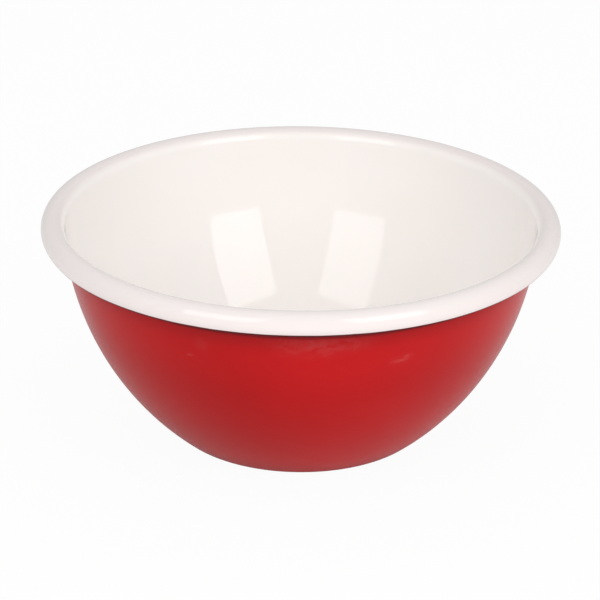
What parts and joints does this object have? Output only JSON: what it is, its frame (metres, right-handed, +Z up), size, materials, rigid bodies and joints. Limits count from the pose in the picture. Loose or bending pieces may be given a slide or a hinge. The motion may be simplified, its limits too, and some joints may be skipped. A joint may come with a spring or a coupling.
{
  "type": "enamel basin bowl",
  "caption": "Round enamelled steel bowl with a flat base, curved flaring wall and rolled rim, cream inside and red outside, for mixing, washing and serving food.",
  "frame": {"origin": "centre of the base's underside, on the surface that the bowl stands on", "axes": "+Z up along the bowl's axis, out of its mouth; the bowl is the same all round, so X and Y are free"},
  "size_m": [0.22, 0.22, 0.0965],
  "materials": {
    "sheet_steel": "satin",
    "ground_enamel": "gloss",
    "cream_enamel": "gloss",
    "red_enamel": "gloss"
  },
  "bodies": {
    "root": {"steel_bowl": "sheet_steel", "ground_coat_inside": "ground_enamel", "ground_coat_outside": "ground_enamel", "cream_cover_coat": "cream_enamel", "red_cover_coat": "red_enamel"}
  },
  "joints": []
}
